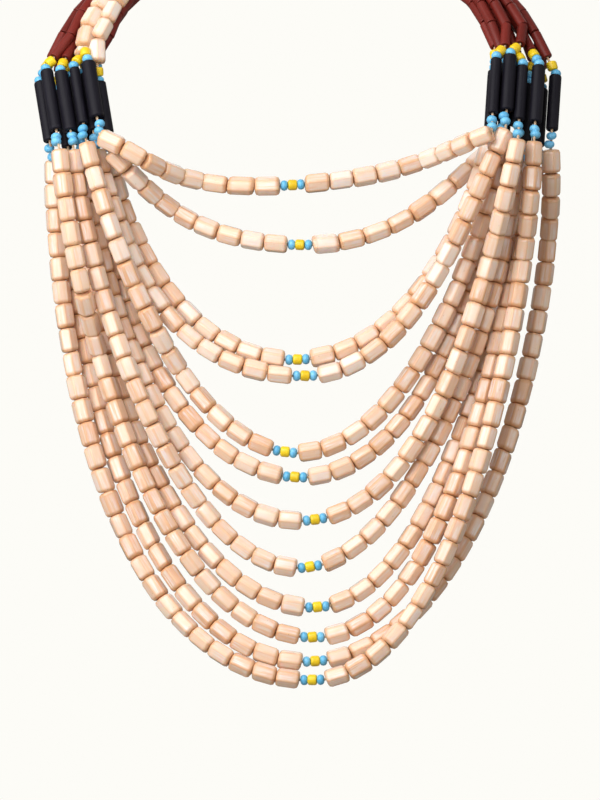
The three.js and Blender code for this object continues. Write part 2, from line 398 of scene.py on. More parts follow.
@dataclass(frozen=True)
class SmallGlass(Finish):
    """Opaque glass of one colour, with paler and darker beads and a soft shine."""

    name: str
    dark: Colour
    light: Colour
    dust: Colour
    roughness: Pair = (0.28, 0.45)
    grain: Grain = Grain((1.5, 1.5, 1.5), 70.0, detail=3.0)
    tone_share: float = 0.6  # of a bead's colour that is its own, and the rest is the grain's
    dusted: Pair = (0.5, 0.8)
    dusting: float = 0.2
    relief: float = 0.04 * MM
    relief_share: float = 0.5
    shine: float = 0.5
    refraction: float = 1.52
    glow: Glow = Glow(0.1, (1.0, 0.8, 0.8), 0.6 * MM)

    def sockets(self, nodes: Nodes) -> dict:
        """Fills the sockets.

        Args:
            nodes: the material's node tree.

        Returns:
            A value or a link for each socket that is set.
        """
        place, tone = nodes.bead()
        grain = self.grain.over(nodes, place, tone)
        shade = tone * self.tone_share + grain * (1.0 - self.tone_share)
        colour = nodes.mix(shade, self.dark, self.light)
        colour = nodes.mix(grain.between(*self.dusted) * self.dusting, colour, self.dust)
        return {
            "Base Color": colour,
            "Roughness": grain.between(*MOST, *self.roughness),
            "Normal": nodes.bump(grain, self.relief, self.relief_share),
            "IOR": self.refraction,
            "Specular IOR Level": self.shine,
            **self.glow.sockets(),
        }


@dataclass(frozen=True)
class BlackGlass(Finish):
    """Black drawn glass with a satin shine, faint lines along it and dust in its ends."""

    name: str = "black_glass"
    black: Colour = (0.006, 0.0052, 0.0095, 1.0)
    worn: Colour = (0.020, 0.018, 0.028, 1.0)
    lines: Grain = Grain((2.4, 2.4, 0.09), 50.0, detail=3.0)
    patches: Grain = Grain((0.5, 0.5, 0.2), 31.0, 5.0)
    ends: Pair = (11.6, 12.8)  # along the tube, where dust begins and is full
    lined: Pair = (0.5, 0.75)  # the lines between which it is worn
    dusted: Pair = (0.4, 0.7)  # the patches between which dust lies in its ends
    wear: float = 0.5
    roughness: Pair = (0.42, 0.54)
    patch_roughness: float = 0.06
    patch_height: float = 0.5
    relief: float = 0.05 * MM
    relief_share: float = 0.5
    refraction: float = 1.5
    shine: float = 0.15

    def sockets(self, nodes: Nodes) -> dict:
        """Fills the sockets.

        Args:
            nodes: the material's node tree.

        Returns:
            A value or a link for each socket that is set.
        """
        place, tone = nodes.bead()
        lines = self.lines.over(nodes, place, tone)
        patches = self.patches.over(nodes, place, tone)
        end = abs(place.part("Z")).between(*self.ends)
        dust = end * patches.between(*self.dusted)
        wear = lines.between(*self.lined) * self.wear + dust * self.wear
        roughness = lines.between(*MOST, *self.roughness) + patches * self.patch_roughness
        height = lines + patches * self.patch_height
        return {
            "Base Color": nodes.mix(wear, self.black, self.worn),
            "Roughness": roughness,
            "Normal": nodes.bump(height, self.relief, self.relief_share),
            "IOR": self.refraction,
            "Specular IOR Level": self.shine,
        }


@dataclass(frozen=True)
class Cotton(Finish):
    """Tan cotton thread, twisted, whose "place" holds the turn round it and the way along it."""

    name: str = "tan_thread"
    # dark is the painted shade in the grooves between the plies, light their tops
    dark: Colour = (0.42, 0.24, 0.13, 1.0)
    light: Colour = (0.78, 0.58, 0.38, 1.0)
    plies: float = 2.0
    twist: float = 5.0  # turn of the plies in each millimetre, in radians
    fuzz: Grain = Grain((1.0, 1.0, 3.0), 20.0)
    ply_share: float = 0.6  # of its colour that follows the plies, as painted shade in their grooves, and the rest is the fuzz's
    roughness: float = 0.85
    fuzz_height: float = 0.3
    relief: float = 0.12 * MM
    relief_share: float = 0.8
    sheen: float = 0.3

    def sockets(self, nodes: Nodes) -> dict:
        """Fills the sockets.

        Args:
            nodes: the material's node tree.

        Returns:
            A value or a link for each socket that is set.
        """
        place, tone = nodes.bead()
        phase = place.part("X") * self.plies + place.part("Z") * self.twist
        ply = phase.maths("SINE", phase, 0.0) * 0.5 + 0.5
        fuzz = self.fuzz.over(nodes, place, tone)
        # painted shade: darker where the ply wave is low, in the grooves; the fuzz is the thread's
        # own
        shade = ply * self.ply_share + fuzz * (1.0 - self.ply_share)
        height = ply + fuzz * self.fuzz_height
        return {
            "Base Color": nodes.mix(shade, self.dark, self.light),
            "Roughness": self.roughness,
            "Normal": nodes.bump(height, self.relief, self.relief_share),
            "Sheen Weight": self.sheen,
        }


@dataclass(frozen=True)
class Brass(Finish):
    """Brushed brass, dulled in patches, with the brushing round the barrel."""

    name: str = "brushed_brass"
    bright: Colour = (0.62, 0.44, 0.20, 1.0)
    dull: Colour = (0.30, 0.19, 0.09, 1.0)
    brushing: Grain = Grain((6.0, 0.12, 0.12), first=2.0, detail=3.0)
    patches: Grain = Grain((0.25, 0.25, 0.25), first=9.0, detail=4.0)
    tarnished: Pair = (0.45, 0.7)  # the patches between which it dulls
    tarnish: float = 0.7
    roughness: Pair = (0.25, 0.42)
    tarnish_roughness: float = 0.15
    relief: float = 0.03 * MM
    relief_share: float = 0.6

    def sockets(self, nodes: Nodes) -> dict:
        """Fills the sockets.

        Args:
            nodes: the material's node tree.

        Returns:
            A value or a link for each socket that is set.
        """
        place = nodes.add("ShaderNodeTexCoord", {}, {}, "Object").scaled((1 / MM,) * 3)
        brushing = self.brushing.over(nodes, place)
        dulled = self.patches.over(nodes, place).between(*self.tarnished)
        roughness = brushing.between(*MOST, *self.roughness) + dulled * self.tarnish_roughness
        return {
            "Base Color": nodes.mix(dulled * self.tarnish, self.bright, self.dull),
            "Roughness": roughness,
            "Normal": nodes.bump(brushing, self.relief, self.relief_share),
            "Metallic": 1.0,
        }


BLUE_GLASS = SmallGlass(
    "blue_glass", (0.07, 0.36, 0.62, 1.0), (0.18, 0.54, 0.83, 1.0), (0.44, 0.71, 0.89, 1.0)
)
YELLOW_GLASS = SmallGlass(
    "yellow_glass", (0.70, 0.44, 0.004, 1.0), (0.86, 0.62, 0.008, 1.0), (0.90, 0.75, 0.10, 1.0)
)
RED_GLASS = SmallGlass(
    "red_glass",
    (0.092, 0.008, 0.005, 1.0),
    (0.180, 0.018, 0.012, 1.0),
    (0.24, 0.045, 0.03, 1.0),
    roughness=(0.36, 0.5),
    grain=Grain((1.3, 1.3, 0.10), 70.0, detail=3.0),
    shine=0.22,
)


@dataclass
class Finishes:
    """The materials that the pieces share."""

    bead: bpy.types.Material = field(default_factory=BeadGlass().material)
    tube: bpy.types.Material = field(default_factory=BlackGlass().material)
    neck: bpy.types.Material = field(default_factory=RED_GLASS.material)
    thread: bpy.types.Material = field(default_factory=Cotton().material)
    clasp: bpy.types.Material = field(default_factory=Brass().material)
    seeds: dict[Seed, bpy.types.Material] = field(
        default_factory=lambda: {
            Seed.BLUE: BLUE_GLASS.material(),
            Seed.YELLOW: YELLOW_GLASS.material(),
        }
    )


# ---- Modelling one bead of each kind ----
@contextmanager
def edit_mode() -> Iterator[None]:
    """Puts the active object into edit mode for a while."""
    bpy.ops.object.mode_set(mode="EDIT")
    yield
    bpy.ops.object.mode_set(mode="OBJECT")


def choose(kind: str, test: Callable[[bmesh.types.BMEdge | bmesh.types.BMFace], bool]) -> None:
    """Selects only the edges or faces that a test picks, in edit mode.

    Args:
        kind: EDGE or FACE.
        test: says whether one of them is wanted.
    """
    bpy.ops.mesh.select_mode(type=kind)
    bpy.ops.mesh.select_all(action="DESELECT")
    mesh = bpy.context.edit_object.data
    net = bmesh.from_edit_mesh(mesh)
    for item in net.edges if kind == "EDGE" else net.faces:
        item.select_set(test(item))
    bmesh.update_edit_mesh(mesh)


@dataclass(frozen=True)
class Master:
    """A bead that is modelled once, along Z round its own middle."""

    corners: np.ndarray
    faces: list[tuple[int, ...]]

    @property
    def length(self) -> float:
        """From one end to the other."""
        return float(np.ptp(self.corners[:, 2]))


@dataclass(frozen=True)
class BeadShape:
    """The sizes that a straight bead with rounded ends is modelled to."""

    sides: int
    radius: float
    length: float
    shoulder: float  # width of the rounding at each end
    steps: int  # faces across that rounding
    edge: float = 0.0  # width of the bevel along each long edge
    hole: float = 0.0  # radius of the hole, where it is modelled
    depth: float = 0.0  # how far in the hole is modelled, or 0 for all the way through

    def model(self) -> Master:
        """Models the bead with Blender's own tools.

        Returns:
            Its mesh.
        """
        bpy.ops.object.select_all(action="DESELECT")
        bpy.ops.mesh.primitive_cylinder_add(
            vertices=self.sides, radius=self.radius, depth=self.length
        )
        with edit_mode():
            if self.edge:
                choose("EDGE", lambda edge: self.ends_of(edge) == 2)
                bpy.ops.mesh.bevel(offset=self.edge, segments=1, affect="EDGES")
            choose("EDGE", lambda edge: self.ends_of(edge) == 1)
            bpy.ops.mesh.bevel(offset=self.shoulder, segments=self.steps, affect="EDGES")
            bpy.ops.mesh.select_all(action="SELECT")
            bpy.ops.mesh.remove_doubles(threshold=SLIVER)
            if self.hole:
                self.bore()
            bpy.ops.mesh.select_all(action="SELECT")
            bpy.ops.mesh.normals_make_consistent(inside=False)
        bead = bpy.context.object
        corners = np.array([vertex.co for vertex in bead.data.vertices])
        faces = [tuple(polygon.vertices) for polygon in bead.data.polygons]
        bpy.data.objects.remove(bead)
        return Master(corners, faces)

    def ends_of(self, edge: bmesh.types.BMEdge) -> int:
        """Sorts the edges of the plain cylinder.

        Args:
            edge: one of them.

        Returns:
            How many ends of the bead it touches, or 0 if it lies off them.
        """
        heights = [vertex.co.z for vertex in edge.verts]
        if min(abs(height) for height in heights) < self.length / 2 - CLOSE:
            return 0
        return 2 if heights[0] * heights[1] < 0 else 1

    def bore(self) -> None:
        """Insets both ends to the hole's mouth, and takes the hole in or through."""
        choose("FACE", lambda face: 1 - abs(face.normal.z) < CLOSE)
        flat = self.radius * math.cos(math.pi / self.sides)
        bpy.ops.mesh.inset(thickness=flat - self.shoulder - self.hole)
        if self.depth:
            bpy.ops.mesh.extrude_region_shrink_fatten(
                TRANSFORM_OT_shrink_fatten={"value": -self.depth}
            )
            return
        bpy.ops.mesh.delete(type="ONLY_FACE")
        choose("EDGE", lambda edge: edge.is_boundary)
        bpy.ops.mesh.bridge_edge_loops()


SIX_SIDED = BeadShape(BEAD_SIDES, 4.05 * MM, 9.8 * MM, shoulder=1.5 * MM, steps=2, edge=0.5 * MM)
SIX_SIDED_HOLED = replace(SIX_SIDED, hole=0.7 * MM, depth=2 * MM)
BLUE_SEED = BeadShape(12, 2.1 * MM, 3.0 * MM, shoulder=1.35 * MM, steps=3)
YELLOW_SEED = BeadShape(12, 2.15 * MM, 3.7 * MM, shoulder=0.75 * MM, steps=2)
BLACK_TUBE = BeadShape(28, 2.6 * MM, 25.4 * MM, shoulder=0.75 * MM, steps=3, hole=1.15 * MM)
RED_TUBE = BeadShape(
    12, 2.2 * MM, 12.2 * MM, shoulder=0.4 * MM, steps=2, hole=0.8 * MM, depth=2.5 * MM
)


@dataclass
class Masters:
    """The beads that are modelled once each."""

    six_sided: Master = field(default_factory=SIX_SIDED.model)
    holed: Master = field(default_factory=SIX_SIDED_HOLED.model)
    tube: Master = field(default_factory=BLACK_TUBE.model)
    red_tube: Master = field(default_factory=RED_TUBE.model)
    seeds: dict[Seed, Master] = field(
        default_factory=lambda: {
            Seed.BLUE: BLUE_SEED.model(),
            Seed.YELLOW: YELLOW_SEED.model(),
        }
    )


# ---- Joined meshes ----
def unit(vector: np.ndarray) -> np.ndarray:
    """The vector at a length of 1."""
    return vector / np.linalg.norm(vector)


def lengths_along(route: np.ndarray) -> np.ndarray:
    """How far along a route each of its points is."""
    return np.concatenate([[0.0], np.cumsum(np.linalg.norm(np.diff(route, axis=0), axis=1))])


def at_lengths(route: np.ndarray, lengths: np.ndarray) -> np.ndarray:
    """The points of a route at lengths from its start."""
    run = lengths_along(route)
    return np.stack([np.interp(lengths, run, route[:, axis]) for axis in range(3)], axis=1)


def smooth_route(points: np.ndarray, step: float) -> np.ndarray:
    """A smooth route through points, as a Catmull-Rom spline.

    Args:
        points: the points to pass.
        step: about how far apart the route's own points are.

    Returns:
        The route's points.
    """
    padded = np.vstack([2 * points[0] - points[1], points, 2 * points[-1] - points[-2]])
    route = []
    for before, start, end, after in zip(padded, padded[1:], padded[2:], padded[3:]):
        count = max(2, round(float(np.linalg.norm(end - start)) / step))
        for share in np.arange(count) / count:
            square, cube = share**2, share**3
            route.append(
                start
                + 0.5 * share * (end - before)
                + 0.5 * square * (2 * before - 5 * start + 4 * end - after)
                + 0.5 * cube * (3 * start - before - 3 * end + after)
            )
    return np.array([*route, points[-1]])


def smooth(piece: bpy.types.Object) -> None:
    """Shades the active piece smooth, with its broad faces flat and its bevels round.

    Args:
        piece: the active object.
    """
    bpy.ops.object.shade_smooth()
    weighting = piece.modifiers.new("weighting", "WEIGHTED_NORMAL")
    bpy.ops.object.modifier_apply(modifier=weighting.name)


def scatter(chance: random.Random, spread: float) -> np.ndarray:
    """A small shift or lean in a chance direction."""
    return np.array([chance.gauss(0, 1) for _ in range(3)]) * spread


@dataclass
class Joined:
    """Shapes that are joined into one mesh."""

    corners: list[np.ndarray] = field(default_factory=list)
    places: list[np.ndarray] = field(default_factory=list)
    tones: list[np.ndarray] = field(default_factory=list)
    faces: list[tuple[int, ...]] = field(default_factory=list)
    count: int = 0

    def take(
        self,
        corners: np.ndarray,
        places: np.ndarray,
        tone: float,
        faces: Sequence[Sequence[int]],
    ) -> None:
        """Takes in one shape.

        Args:
            corners: its points.
            places: where each of them is on the shape, in millimetres.
            tone: its own number, from 0 to 1.
            faces: the corners of each face, by number.
        """
        self.corners.append(corners)
        self.places.append(places)
        self.tones.append(np.full(len(corners), tone))
        self.faces += [tuple(corner + self.count for corner in face) for face in faces]
        self.count += len(corners)

    def piece(self, name: str, material: bpy.types.Material) -> bpy.types.Object:
        """Makes one smooth piece of all the shapes, which rides on the necklace's body.

        Args:
            name: the piece's name.
            material: its finish.

        Returns:
            The new object.
        """
        mesh = bpy.data.meshes.new(name)
        mesh.from_pydata(np.concatenate(self.corners).tolist(), [], self.faces)
        place = mesh.attributes.new("place", "FLOAT_VECTOR", "POINT")
        place.data.foreach_set("vector", np.concatenate(self.places).astype(np.float32).ravel())
        tone = mesh.attributes.new("tone", "FLOAT", "POINT")
        tone.data.foreach_set("value", np.concatenate(self.tones).astype(np.float32))
        mesh.materials.append(material)
        piece = bpy.data.objects.new(name, mesh)
        bpy.context.scene.collection.objects.link(piece)
        bpy.ops.object.select_all(action="DESELECT")
        piece.select_set(True)
        bpy.context.view_layer.objects.active = piece
        smooth(piece)
        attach(piece, BODY)
        log.info("%s: %d faces", name, len(self.faces))
        return piece


@dataclass
class Threaded(Joined):
    """Copies of modelled beads, set one after another."""

    def add(
        self,
        bead: Master,
        middle: np.ndarray,
        axis: np.ndarray,
        tone: float,
        roll: float = 0.0,
        size: Triple = (1.0, 1.0, 1.0),
        slant: Pair = (0.0, 0.0),
    ) -> None:
        """Sets one copy of a bead.

        Args:
            bead: the bead to copy.
            middle: where its middle goes.
            axis: which way its hole points, at a length of 1.
            tone: its own number, from 0 to 1.
            roll: how far it is turned round its hole.
            size: how much wider, deeper and longer it is than the modelled one.
            slant: how far its ends lean, across it and in depth.
        """
        front = unit(FRONT - axis * (FRONT @ axis))
        side = np.cross(axis, front)
        across = front * math.cos(roll) + side * math.sin(roll)
        local = bead.corners * size
        local[:, 2] += local[:, :2] @ np.array(slant)
        corners = middle + local @ np.array([across, np.cross(axis, across), axis])
        self.take(corners, local / MM, tone, bead.faces)


@dataclass
class Threads(Joined):
    """Round threads along routes of points."""

    radius: float = 0.5 * MM
    sides: int = 8
    sideways: Triple = (0.3, 1.0, 0.2)  # a way that no thread starts in

    def add(self, route: np.ndarray, tone: float) -> None:
        """Lays one thread with closed ends.

        Args:
            route: the points that it follows.
            tone: its own number, from 0 to 1.
        """
        steps = np.gradient(route, axis=0)
        turns = np.arange(self.sides) * 2 * math.pi / self.sides
        across = unit(np.cross(steps[0], self.sideways))
        corners, places = [], []
        for point, step, length in zip(route, steps, lengths_along(route), strict=True):
            along = unit(step)
            across = unit(across - along * (across @ along))
            up = np.cross(along, across)
            ring = np.outer(np.cos(turns), across) + np.outer(np.sin(turns), up)
            corners.append(point + self.radius * ring)
            level = np.full(self.sides, length / MM)
            places.append(np.stack([turns, np.zeros(self.sides), level], 1))
        faces = []
        for row in range(0, (len(route) - 1) * self.sides, self.sides):
            for i in range(self.sides):
                low, high = row + i, row + (i + 1) % self.sides
                faces.append((low, high, high + self.sides, low + self.sides))
        last = (len(route) - 1) * self.sides
        faces.append(tuple(reversed(range(self.sides))))
        faces.append(tuple(range(last, last + self.sides)))
        self.take(np.concatenate(corners), np.concatenate(places), tone, faces)


def seed_pieces(node: str, seeds: dict[Seed, Threaded], finishes: Finishes) -> Dressing:
    """Makes a piece of the seeds of each colour.

    Args:
        node: the CAD node that they help to replace.
        seeds: the seeds of each colour.
        finishes: the materials.

    Returns:
        Both pieces.
    """
    dressing = []
    for seed in Seed:
        piece = seeds[seed].piece(f"{node}_{seed.value}_seeds", finishes.seeds[seed])
        dressing.append((piece, f"{seed.value}_seed_glass"))
    return dressing


def hand_over(node: str, dressing: Dressing) -> None:
    """Puts pieces in a CAD node's place by hiding the node.

    Args:
        node: the node that they replace.
        dressing: each piece with its slot.
    """
    for piece, slot in dressing:
        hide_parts(node)


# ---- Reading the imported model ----
def corners_of(node: str) -> tuple[np.ndarray, np.ndarray]:
    """Welds the corners of a CAD node's loose triangles.

    Args:
        node: the node's name.

    Returns:
        The corners, and which of them each vertex of the mesh is.
    """
    vertices = np.array([vertex.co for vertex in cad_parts[node].data.vertices])
    corners, same = np.unique(vertices.round(WELD_DIGITS), axis=0, return_inverse=True)
    return corners, same.reshape(-1)


@dataclass(frozen=True)
class Ring:
    """One cross-section of a solid."""

    points: np.ndarray

    @property
    def centre(self) -> np.ndarray:
        """Its middle."""
        return self.points.mean(axis=0)

    @property
    def radius(self) -> float:
        """The mean distance of its points from its middle."""
        return float(np.linalg.norm(self.points - self.centre, axis=1).mean())


def rings_of(node: str, start: np.ndarray, count: int) -> list[Ring]:
    """Reads the cross-sections of a long solid, in order.

    Args:
        node: the name of its CAD node.
        start: a point near the end that the rings are counted from.
        count: how many corners the ring at that end has.

    Returns:
        The rings from that end to the other.
    """
    corners, same = corners_of(node)
    joined: list[set[int]] = [set() for _ in corners]
    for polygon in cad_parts[node].data.polygons:
        ids = {int(same[vertex]) for vertex in polygon.vertices}
        for corner in ids:
            joined[corner] |= ids
    near = np.argsort(np.linalg.norm(corners - start, axis=1))[:count]
    layer = {int(corner) for corner in near}
    seen = set(layer)
    rings = []
    while layer:
        rings.append(Ring(corners[sorted(layer)]))
        layer = set().union(*(joined[corner] for corner in layer)) - seen
        seen |= layer
    return rings


@dataclass(frozen=True)
class TubePlace:
    """Where a black tube stands."""

    middle: np.ndarray
    axis: np.ndarray  # upwards, at a length of 1
    half: float
    radius: float

    @classmethod
    def of(cls, side: Side, number: int) -> "TubePlace":
        """Reads it from the tube's solid.

        Args:
            side: the tube's side.
            number: the number of its string.

        Returns:
            Where the tube stands.
        """
        corners, _ = corners_of(f"tube_{side.value}_{number:02d}")
        middle = corners.mean(axis=0)
        spread = corners - middle
        axis = np.linalg.svd(spread)[2][0]
        axis *= math.copysign(1.0, axis[2])
        along = spread @ axis
        radius = np.linalg.norm(spread - np.outer(along, axis), axis=1).max()
        return cls(middle, axis, float(along.max()), float(radius))

    @property
    def top(self) -> np.ndarray:
        """The middle of its upper end."""
        return self.middle + self.axis * self.half

    @property
    def bottom(self) -> np.ndarray:
        """The middle of its lower end."""
        return self.middle - self.axis * self.half


# ---- The twelve strings in front ----
@dataclass(frozen=True)
class Span:
    """A straight stretch of a string's solid: one bead, or a stack of seeds."""

    start: np.ndarray
    end: np.ndarray
    radius: float

    @property
    def seeded(self) -> bool:
        """Whether it stands for seed beads."""
        return self.radius < SEED_SPAN_RADIUS


def spans_of(rings: Sequence[Ring]) -> list[Span]:
    """Pairs up the rings of a string's solid.

    Args:
        rings: all of them in order, with those of the bare thread, which are left out.

    Returns:
        The spans of beads and seeds, in order.
    """
    spans = []
    index = 0
    while index + 1 < len(rings):
        first, second = rings[index], rings[index + 1]
        if len(first.points) == len(second.points) == BEAD_SIDES:
            spans.append(Span(first.centre, second.centre, first.radius))
            index += 2
        else:
            index += 1
    return spans


@dataclass
class HangingString:
    """One string of six-sided beads between a left and a right tube."""

    number: int
    masters: Masters
    finishes: Finishes
    crowding: float = 0.95  # how much of the gap between two beads' solids they fill
    joint_shift: float = 0.3 * MM
    width: Pair = (0.94, 1.04)
    end_lean: float = 0.05
    seed_reach: float = 0.45 * MM  # how far a bead beside seeds goes on towards them
    seed_places: Pair = (0.36, 0.78)  # shares of the way down from the tube
    seed_shift: float = 0.5 * MM
    seed_lean: Triple = (0.3, 0.15, 0.5)  # by chance across and in depth, and up to +Z
    middle_lean: float = 0.07
    lower_shade_share: float = 0.5  # painted shade: how far the lowest string's beads go towards the darkest tone

    def shade_lower_strings(self, tone: float) -> float:
        """Darkens the beads of the lower strings towards their tan tones, a painted shade lower
        down.

        Args:
            tone: a bead's own tone, from 0 for the palest to 1 for the tannest.

        Returns:
            The tone that the bead has on this string.
        """
        share = self.lower_shade_share * (self.number - STRINGS[0]) / (STRINGS[-1] - STRINGS[0])
        return tone + (1 - tone) * share

    def build(self) -> None:
        """Builds the string's beads, seeds and thread."""
        node = f"string_{self.number:02d}"
        ends = [TubePlace.of(side, self.number) for side in Side]
        spans = spans_of(rings_of(node, ends[0].bottom, BEAD_SIDES))
        chance = random.Random(self.number)
        beads = Threaded()
        seeds = {seed: Threaded() for seed in Seed}
        for index, span in enumerate(spans):
            if index == 0:
                self.add_end_seeds(seeds, span.start, span.end, chance)
            elif index == len(spans) - 1:
                self.add_end_seeds(seeds, span.end, span.start, chance)
            elif span.seeded:
                self.add_middle_seeds(seeds, span, chance)
        self.add_beads(beads, spans, chance)
        thread = Threads()
        thread.add(self.thread_route(spans, ends), chance.random())
        dressing = [(beads.piece(f"{node}_beads", self.finishes.bead), "bead_glass")]
        dressing += seed_pieces(node, seeds, self.finishes)
        dressing.append((thread.piece(f"{node}_thread", self.finishes.thread), "thread"))
        hand_over(node, dressing)

    def add_beads(self, beads: Threaded, spans: Sequence[Span], chance: random.Random) -> None:
        """Sets the six-sided beads close together, each a little unlike the one before.

        Args:
            beads: collects them.
            spans: the string's spans, with its seeds' at both ends.
            chance: the string's own source of chance.
        """
        slide = 0.0
        for before, span, after in zip(spans, spans[1:], spans[2:]):
            if span.seeded:
                slide = 0.0
                continue
            start, end = span.start, span.end
            axis = unit(end - start)
            if before.seeded:
                start = start - axis * self.seed_reach
            else:
                start = start + (before.end - start) / 2 * self.crowding + axis * slide
            slide = 0.0 if after.seeded else chance.uniform(-1, 1) * self.joint_shift
            if after.seeded:
                end = end + axis * self.seed_reach
            else:
                end = end + (after.start - end) / 2 * self.crowding + axis * slide
            beside_seeds = before.seeded or after.seeded
            bead = self.masters.holed if beside_seeds else self.masters.six_sided
            # the tone carries painted shade on the lower strings
            beads.add(
                bead,
                (start + end) / 2,
                unit(end - start),
                self.shade_lower_strings(chance.random()),
                chance.uniform(-math.pi / BEAD_SIDES, math.pi / BEAD_SIDES),
                (
                    chance.uniform(*self.width),
                    chance.uniform(*self.width),
                    float(np.linalg.norm(end - start)) / bead.length,
                ),
                (chance.gauss(0, self.end_lean), chance.gauss(0, self.end_lean)),
            )

    def add_end_seeds(
        self,
        seeds: dict[Seed, Threaded],
        tube_end: np.ndarray,
        bead_end: np.ndarray,
        chance: random.Random,
    ) -> None:
        """Hangs two blue seeds loosely on the thread between a tube and a long bead.

        Args:
            seeds: collects the seeds of each colour.
            tube_end: where the thread leaves the tube.
            bead_end: where it enters the bead.
            chance: the string's own source of chance.
        """
        axis = unit(tube_end - bead_end)
        bead = self.masters.seeds[Seed.BLUE]
        for share in self.seed_places:
            middle = tube_end + (bead_end - tube_end) * share + scatter(chance, self.seed_shift)
            across, depth, up = self.seed_lean
            lean = np.array([chance.gauss(0, across), chance.gauss(0, depth), up])
            seeds[Seed.BLUE].add(bead, middle, unit(axis + lean), chance.random())

    def add_middle_seeds(
        self, seeds: dict[Seed, Threaded], span: Span, chance: random.Random
    ) -> None:
        """Sets a yellow seed between two blue ones.

        Args:
            seeds: collects the seeds of each colour.
            span: the seeds' span at the string's middle.
            chance: the string's own source of chance.
        """
        kinds = (Seed.BLUE, Seed.YELLOW, Seed.BLUE)
        axis = unit(span.end - span.start)
        lengths = [self.masters.seeds[kind].length for kind in kinds]
        place = (span.start + span.end) / 2 - axis * sum(lengths) / 2
        for kind, length in zip(kinds, lengths, strict=True):
            lean = unit(axis + scatter(chance, self.middle_lean))
            middle = place + axis * length / 2
            seeds[kind].add(self.masters.seeds[kind], middle, lean, chance.random())
            place = place + axis * length

    def thread_route(self, spans: Sequence[Span], ends: Sequence[TubePlace]) -> np.ndarray:
        """Finds the thread's way through the string.

        Args:
            spans: the string's spans.
            ends: the left and the right tube.

        Returns:
            Points from inside the left tube to inside the right one.
        """
        points = [ends[0].bottom + ends[0].axis * THREAD_INSIDE]
        for span in spans:
            points += [span.start, span.end]
        points.append(ends[1].bottom + ends[1].axis * THREAD_INSIDE)
        return np.array(points)


# ---- The clusters of black tubes ----
@dataclass
class Cluster:
    """The twelve black tubes of a side."""

    side: Side
    masters: Masters
    finishes: Finishes

    def build(self) -> None:
        """Builds each tube where its solid stands."""
        for number in STRINGS:
            place = TubePlace.of(self.side, number)
            chance = random.Random(f"{self.side.value}{number}")
            width = place.radius / BLACK_TUBE.radius
            size = (width, width, 2 * place.half / BLACK_TUBE.length)
            tube = Threaded()
            tone, roll = chance.random(), chance.random()
            tube.add(self.masters.tube, place.middle, place.axis, tone, roll, size)
            node = f"tube_{self.side.value}_{number:02d}"
            hand_over(node, [(tube.piece(f"{node}_glass", self.finishes.tube), "tube_glass")])


# ---- The thin strings round the neck ----
@dataclass(frozen=True)
class Section:
    """A cross-section of a neck bundle, with its two directions and half its two sizes."""

    centre: np.ndarray
    outwards: np.ndarray
    down: np.ndarray
    half_wide: float
    half_thick: float

    @classmethod
    def of(cls, ring: Ring, along: np.ndarray, side: Side) -> "Section":
        """Reads it from the bundle's solid.

        Args:
            ring: a ring of the solid.
            along: which way the bundle runs there, at a length of 1.
            side: the bundle's side.

        Returns:
            The section at that ring.
        """
        outwards = unit(np.array([along[1], -along[0], 0.0]) * side.sign)
        down = np.cross(along, outwards) * side.sign
        spread = ring.points - ring.centre
        wide, thick = np.abs(spread @ outwards).max(), np.abs(spread @ down).max()
        return cls(ring.centre, outwards, down, float(wide), float(thick))

    def at(self, across: float, depth: float, margin: float) -> np.ndarray:
        """Finds a point of the section.

        Args:
            across: its place outwards, from -1 to 1.
            depth: its place downwards, from -1 to 1.
            margin: what is kept free inside the section's outline.

        Returns:
            The point.
        """
        return (
            self.centre
            + self.outwards * across * (self.half_wide - margin)
            + self.down * depth * (self.half_thick - margin)
        )


